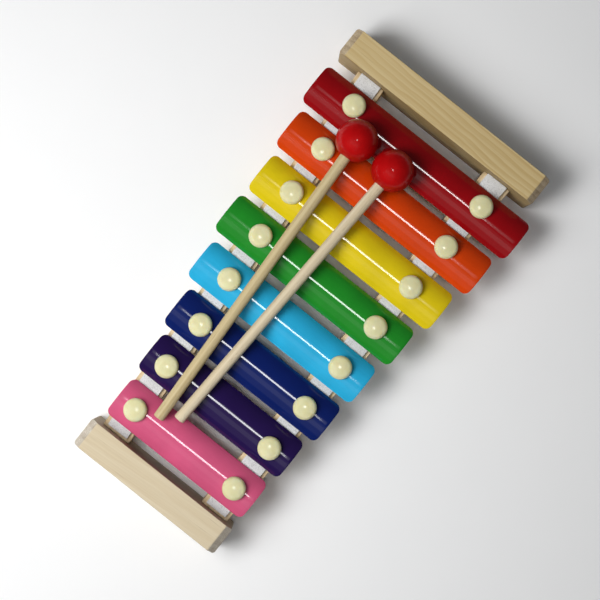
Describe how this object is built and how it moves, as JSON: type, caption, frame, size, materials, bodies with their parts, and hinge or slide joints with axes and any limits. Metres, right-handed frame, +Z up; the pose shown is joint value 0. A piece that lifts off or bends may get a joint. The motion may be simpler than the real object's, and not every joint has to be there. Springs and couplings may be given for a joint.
{
  "type": "toy xylophone",
  "caption": "Toy xylophone: arched enamelled tone bars on foam-topped rails between two wooden end blocks, with loose ball-headed mallets.",
  "frame": {"origin": "on the table, midway between the outer faces of the end blocks and on the instrument's long middle line", "axes": "+X along the tone bars, +Y from the shortest bar to the longest, +Z up"},
  "size_m": [0.1245, 0.24, 0.0441],
  "materials": {
    "large_block_wood": "planed pine, clear matt varnish, straight grain",
    "small_block_wood": "planed pale pine, clear matt varnish",
    "rail_wood": "sawn pine, bare",
    "dowel_wood": "bare beech",
    "white_foam": "soft closed-cell foam, fine pores",
    "cream_plastic": "moulded, semi-gloss, small gate mark on top",
    "dark_red_enamel": "high-gloss dark red enamel on sheet metal",
    "orange_enamel": "high-gloss orange enamel on sheet metal",
    "yellow_enamel": "high-gloss yellow enamel on sheet metal",
    "green_enamel": "high-gloss green enamel on sheet metal",
    "light_blue_enamel": "high-gloss light blue enamel on sheet metal",
    "navy_enamel": "high-gloss navy enamel on sheet metal",
    "purple_enamel": "high-gloss purple enamel on sheet metal",
    "pink_enamel": "high-gloss pink enamel on sheet metal",
    "red_lacquer": "turned wood ball under gloss red lacquer",
    "stick_wood": "smooth bare birch"
  },
  "bodies": {
    "frame": {"large_end_block": "large_block_wood", "small_end_block": "small_block_wood", "left_rail": "rail_wood", "right_rail": "rail_wood", "left_foam_strip": "white_foam", "right_foam_strip": "white_foam", "large_end_left_dowel": "dowel_wood", "large_end_right_dowel": "dowel_wood", "small_end_left_dowel": "dowel_wood", "small_end_right_dowel": "dowel_wood", "left_peg_1": "cream_plastic", "left_peg_2": "cream_plastic", "left_peg_3": "cream_plastic", "left_peg_4": "cream_plastic", "left_peg_5": "cream_plastic", "left_peg_6": "cream_plastic", "left_peg_7": "cream_plastic", "left_peg_8": "cream_plastic", "right_peg_1": "cream_plastic", "right_peg_2": "cream_plastic", "right_peg_3": "cream_plastic", "right_peg_4": "cream_plastic", "right_peg_5": "cream_plastic", "right_peg_6": "cream_plastic", "right_peg_7": "cream_plastic", "right_peg_8": "cream_plastic"},
    "dark_red_bar": {"dark_red_tone_bar": "dark_red_enamel"},
    "orange_bar": {"orange_tone_bar": "orange_enamel"},
    "yellow_bar": {"yellow_tone_bar": "yellow_enamel"},
    "green_bar": {"green_tone_bar": "green_enamel"},
    "light_blue_bar": {"light_blue_tone_bar": "light_blue_enamel"},
    "navy_bar": {"navy_tone_bar": "navy_enamel"},
    "purple_bar": {"purple_tone_bar": "purple_enamel"},
    "pink_bar": {"pink_tone_bar": "pink_enamel"},
    "first_mallet": {"first_mallet_head": "red_lacquer", "first_mallet_stick": "stick_wood"},
    "second_mallet": {"second_mallet_head": "red_lacquer", "second_mallet_stick": "stick_wood"}
  },
  "joints": [
    {"name": "dark_red_bar_play", "type": "slide", "parent": "frame", "child": "dark_red_bar", "axis": [0, 0, 1], "range_m": [0, 0.0005]},
    {"name": "orange_bar_play", "type": "slide", "parent": "frame", "child": "orange_bar", "axis": [0, 0, 1], "range_m": [0, 0.0005]},
    {"name": "yellow_bar_play", "type": "slide", "parent": "frame", "child": "yellow_bar", "axis": [0, 0, 1], "range_m": [0, 0.0005]},
    {"name": "green_bar_play", "type": "slide", "parent": "frame", "child": "green_bar", "axis": [0, 0, 1], "range_m": [0, 0.0005]},
    {"name": "light_blue_bar_play", "type": "slide", "parent": "frame", "child": "light_blue_bar", "axis": [0, 0, 1], "range_m": [0, 0.0005]},
    {"name": "navy_bar_play", "type": "slide", "parent": "frame", "child": "navy_bar", "axis": [0, 0, 1], "range_m": [0, 0.0005]},
    {"name": "purple_bar_play", "type": "slide", "parent": "frame", "child": "purple_bar", "axis": [0, 0, 1], "range_m": [0, 0.0005]},
    {"name": "pink_bar_play", "type": "slide", "parent": "frame", "child": "pink_bar", "axis": [0, 0, 1], "range_m": [0, 0.0005]},
    {"name": "first_mallet_lift", "type": "slide", "parent": "frame", "child": "first_mallet", "axis": [0, 0, 1], "range_m": [0, 0.1]},
    {"name": "second_mallet_lift", "type": "slide", "parent": "frame", "child": "second_mallet", "axis": [0, 0, 1], "range_m": [0, 0.1]}
  ]
}
